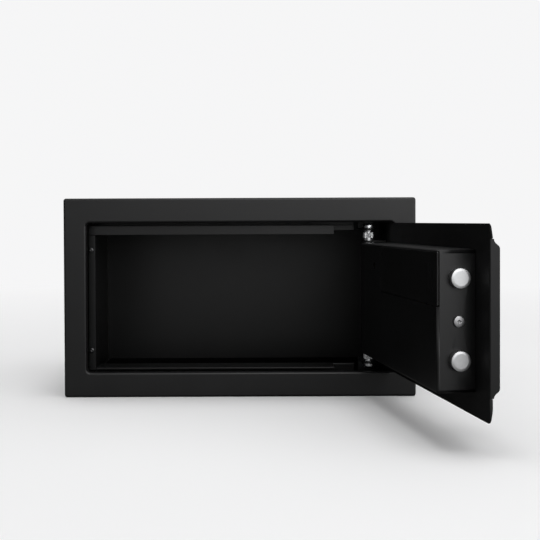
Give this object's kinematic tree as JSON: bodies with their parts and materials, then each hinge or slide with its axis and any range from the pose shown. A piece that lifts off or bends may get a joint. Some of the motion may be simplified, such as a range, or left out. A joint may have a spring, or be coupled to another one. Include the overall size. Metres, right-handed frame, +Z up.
{
  "type": "portable car safe",
  "caption": "Small black steel electronic safe, its inset door swung open on exposed pivot hinges to show round locking bolts in a boxed lock cover.",
  "frame": {"origin": "centre of the cabinet's underside, on the surface it stands on", "axes": "+X to the right seen from the front, +Y from the front face to the back panel, +Z up; the door stands open 99 degrees"},
  "size_m": [0.3763, 0.5059, 0.198],
  "materials": {
    "powder_coat": "fine satin black powder coat on folded steel sheet",
    "moulded_black": "finely textured moulded plastic",
    "mat_felt": "thin needle felt",
    "zinc_plate": "satin bright zinc plate on turned steel",
    "black_steel": "black oxide screw",
    "bare_steel": "stamped steel sheet",
    "key_grey": "soft moulded keycap",
    "cell_sleeve": "plain shrink sleeve on a dry cell",
    "board_green": "glass-filled circuit board with solder mask",
    "coil_copper": "wound coil in a steel yoke",
    "lock_brass": "turned brass",
    "lens_green": "clear tinted lens",
    "lens_red": "clear tinted lens",
    "red_cap": "small moulded button"
  },
  "bodies": {
    "cabinet": {"cabinet_shell": "powder_coat", "front_frame": "powder_coat", "back_panel": "powder_coat", "floor_mat": "mat_felt", "door_stop_left": "powder_coat", "door_stop_top": "powder_coat", "door_stop_bottom": "powder_coat", "stop_screw_lower": "black_steel", "stop_screw_upper": "black_steel", "hinge_bracket_upper": "powder_coat", "hinge_bracket_lower": "powder_coat", "hinge_bolt_upper": "zinc_plate", "hinge_bolt_lower": "zinc_plate", "hinge_washer_upper": "zinc_plate", "hinge_washer_lower": "zinc_plate", "hinge_sleeve_upper": "zinc_plate", "hinge_sleeve_lower": "zinc_plate", "hinge_clip_upper": "zinc_plate", "hinge_clip_lower": "zinc_plate"},
    "door": {"door_plate": "powder_coat", "front_fascia": "moulded_black", "hinge_ear_upper": "powder_coat", "hinge_ear_lower": "powder_coat", "lock_cover": "powder_coat", "cover_screw": "zinc_plate", "lock_base": "bare_steel", "battery_tray": "moulded_black", "battery_1": "cell_sleeve", "battery_2": "cell_sleeve", "battery_3": "cell_sleeve", "battery_4": "cell_sleeve", "circuit_board": "board_green", "solenoid": "coil_copper", "key_lock_body": "lock_brass", "keypad_frame": "moulded_black", "keypad_board": "board_green", "lens_green": "lens_green", "lens_red": "lens_red"},
    "knob": {"knob": "moulded_black", "knob_spindle": "bare_steel"},
    "bolts": {"bolt_carriage": "bare_steel", "bolt_lower": "zinc_plate", "bolt_upper": "zinc_plate"},
    "plunger": {"solenoid_plunger": "bare_steel"},
    "key_plug": {"key_plug": "lock_brass"},
    "key_cover": {"key_cover": "moulded_black"},
    "reset_button": {"reset_button": "red_cap"},
    "battery_lid": {"battery_lid": "powder_coat"},
    "key_01": {"key_01": "key_grey"},
    "key_02": {"key_02": "key_grey"},
    "key_03": {"key_03": "key_grey"},
    "key_04": {"key_04": "key_grey"},
    "key_05": {"key_05": "key_grey"},
    "key_06": {"key_06": "key_grey"},
    "key_07": {"key_07": "key_grey"},
    "key_08": {"key_08": "key_grey"},
    "key_09": {"key_09": "key_grey"},
    "key_10": {"key_10": "key_grey"},
    "key_11": {"key_11": "key_grey"},
    "key_12": {"key_12": "key_grey"}
  },
  "joints": [
    {"name": "door_hinge", "type": "hinge", "parent": "cabinet", "child": "door", "pos_m": [0.13, -0.1062, 0.099], "axis": [0, 0, 1], "range_deg": [-99, 0]},
    {"name": "knob_turn", "type": "hinge", "parent": "door", "child": "knob", "pos_m": [0.17749, -0.28588, 0.1003], "axis": [-0.9877, -0.1564, 0], "range_deg": [0, 90]},
    {"name": "bolt_slide", "type": "slide", "parent": "door", "child": "bolts", "axis": [0.1564, -0.9877, 0], "range_m": [0, 0.03]},
    {"name": "plunger_slide", "type": "slide", "parent": "door", "child": "plunger", "axis": [0, 0, -1], "range_m": [0, 0.004], "stiffness_N_per_m": 300, "springref_m": -0.004},
    {"name": "key_turn", "type": "hinge", "parent": "door", "child": "key_plug", "pos_m": [0.17155, -0.24835, 0.1003], "axis": [-0.9877, -0.1564, 0], "range_deg": [0, 90]},
    {"name": "key_cover_swing", "type": "hinge", "parent": "door", "child": "key_cover", "pos_m": [0.17155, -0.24835, 0.1123], "axis": [-0.9877, -0.1564, 0], "range_deg": [0, 100]},
    {"name": "reset_press", "type": "slide", "parent": "door", "child": "reset_button", "axis": [0.9877, 0.1564, 0], "range_m": [0, 0.001], "stiffness_N_per_m": 300},
    {"name": "battery_lid_slide", "type": "slide", "parent": "door", "child": "battery_lid", "axis": [0.1564, -0.9877, 0], "range_m": [0, 0.06]},
    {"name": "key_01_press", "type": "slide", "parent": "door", "child": "key_01", "axis": [-0.9877, -0.1564, 0], "range_m": [0, 0.001], "stiffness_N_per_m": 300},
    {"name": "key_02_press", "type": "slide", "parent": "door", "child": "key_02", "axis": [-0.9877, -0.1564, 0], "range_m": [0, 0.001], "stiffness_N_per_m": 300},
    {"name": "key_03_press", "type": "slide", "parent": "door", "child": "key_03", "axis": [-0.9877, -0.1564, 0], "range_m": [0, 0.001], "stiffness_N_per_m": 300},
    {"name": "key_04_press", "type": "slide", "parent": "door", "child": "key_04", "axis": [-0.9877, -0.1564, 0], "range_m": [0, 0.001], "stiffness_N_per_m": 300},
    {"name": "key_05_press", "type": "slide", "parent": "door", "child": "key_05", "axis": [-0.9877, -0.1564, 0], "range_m": [0, 0.001], "stiffness_N_per_m": 300},
    {"name": "key_06_press", "type": "slide", "parent": "door", "child": "key_06", "axis": [-0.9877, -0.1564, 0], "range_m": [0, 0.001], "stiffness_N_per_m": 300},
    {"name": "key_07_press", "type": "slide", "parent": "door", "child": "key_07", "axis": [-0.9877, -0.1564, 0], "range_m": [0, 0.001], "stiffness_N_per_m": 300},
    {"name": "key_08_press", "type": "slide", "parent": "door", "child": "key_08", "axis": [-0.9877, -0.1564, 0], "range_m": [0, 0.001], "stiffness_N_per_m": 300},
    {"name": "key_09_press", "type": "slide", "parent": "door", "child": "key_09", "axis": [-0.9877, -0.1564, 0], "range_m": [0, 0.001], "stiffness_N_per_m": 300},
    {"name": "key_10_press", "type": "slide", "parent": "door", "child": "key_10", "axis": [-0.9877, -0.1564, 0], "range_m": [0, 0.001], "stiffness_N_per_m": 300},
    {"name": "key_11_press", "type": "slide", "parent": "door", "child": "key_11", "axis": [-0.9877, -0.1564, 0], "range_m": [0, 0.001], "stiffness_N_per_m": 300},
    {"name": "key_12_press", "type": "slide", "parent": "door", "child": "key_12", "axis": [-0.9877, -0.1564, 0], "range_m": [0, 0.001], "stiffness_N_per_m": 300}
  ],
  "couplings": [
    {"joint": "knob_turn", "follows": "bolt_slide", "rad_per_m": 52.36}
  ]
}
